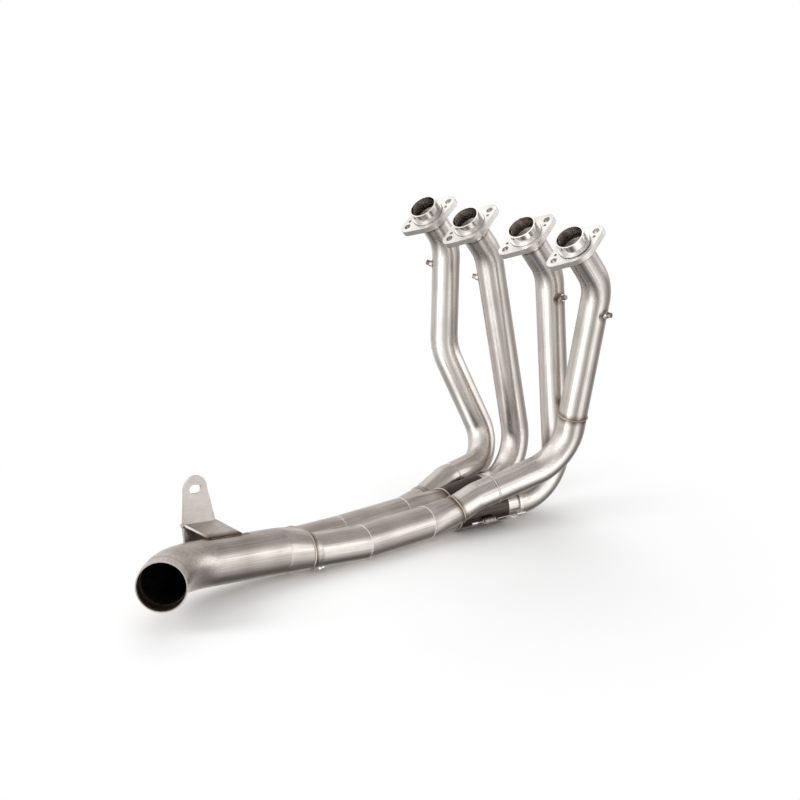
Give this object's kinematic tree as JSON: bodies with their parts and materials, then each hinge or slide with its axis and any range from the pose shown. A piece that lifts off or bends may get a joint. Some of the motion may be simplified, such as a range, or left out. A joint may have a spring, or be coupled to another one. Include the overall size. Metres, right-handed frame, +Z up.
{
  "type": "motorcycle exhaust header",
  "caption": "Exhaust header for an across the frame motorcycle engine: bent steel head pipes with loose stud flanges, paired collectors, a turned tail and a hanger tab.",
  "frame": {"origin": "on the ground, straight under the middle of the box around the whole part", "axes": "+X from the first cylinder to the fourth, +Y forward on the motorcycle, +Z up"},
  "size_m": [0.332, 0.7155, 0.4149],
  "materials": {
    "turned_ring_steel": "turned and polished",
    "flange_steel": "satin",
    "brushed_pipe_steel": "brushed",
    "socket_steel": "satin",
    "collar_steel": "satin",
    "collector_steel": "satin",
    "tail_steel": "satin",
    "hanger_sheet_steel": "satin",
    "boss_steel": "satin",
    "plug_steel": "satin",
    "spring_steel": "satin"
  },
  "bodies": {
    "header": {"port_ring_1": "turned_ring_steel", "port_ring_2": "turned_ring_steel", "port_ring_3": "turned_ring_steel", "port_ring_4": "turned_ring_steel", "head_pipe_1": "brushed_pipe_steel", "drop_pipe_1": "brushed_pipe_steel", "head_pipe_2": "brushed_pipe_steel", "head_pipe_3": "brushed_pipe_steel", "head_pipe_4": "brushed_pipe_steel", "elbow_4": "brushed_pipe_steel", "drop_pipe_4": "brushed_pipe_steel", "slip_socket_2": "socket_steel", "slip_socket_3": "socket_steel", "slip_collar_2": "collar_steel", "slip_collar_3": "collar_steel", "left_collector": "collector_steel", "right_collector": "collector_steel", "left_secondary": "collector_steel", "right_secondary": "collector_steel", "left_merge_pipe": "collector_steel", "right_merge_pipe": "collector_steel", "tail_cone": "tail_steel", "tail_pipe": "tail_steel", "outlet_end_pipe": "tail_steel", "hanger_tab": "hanger_sheet_steel", "hanger_brace": "hanger_sheet_steel", "sampling_bosses": "boss_steel", "sampling_plugs": "plug_steel", "spring_hooks": "spring_steel", "joint_springs": "spring_steel", "sensor_boss": "boss_steel", "sensor_plug": "plug_steel"},
    "flange_1": {"head_flange_1": "flange_steel"},
    "flange_2": {"head_flange_2": "flange_steel"},
    "flange_3": {"head_flange_3": "flange_steel"},
    "flange_4": {"head_flange_4": "flange_steel"}
  },
  "joints": [
    {"name": "flange_1_turn", "type": "hinge", "parent": "header", "child": "flange_1", "pos_m": [-0.138, 0.25595, 0.38925], "axis": [0, -0.6252, 0.7804], "range_deg": [-20, 20]},
    {"name": "flange_2_turn", "type": "hinge", "parent": "header", "child": "flange_2", "pos_m": [-0.052, 0.25395, 0.38705], "axis": [0, -0.6252, 0.7804], "range_deg": [-20, 20]},
    {"name": "flange_3_turn", "type": "hinge", "parent": "header", "child": "flange_3", "pos_m": [0.052, 0.25595, 0.38925], "axis": [0, -0.6252, 0.7804], "range_deg": [-20, 20]},
    {"name": "flange_4_turn", "type": "hinge", "parent": "header", "child": "flange_4", "pos_m": [0.138, 0.25595, 0.38925], "axis": [0, -0.6252, 0.7804], "range_deg": [-20, 20]}
  ]
}
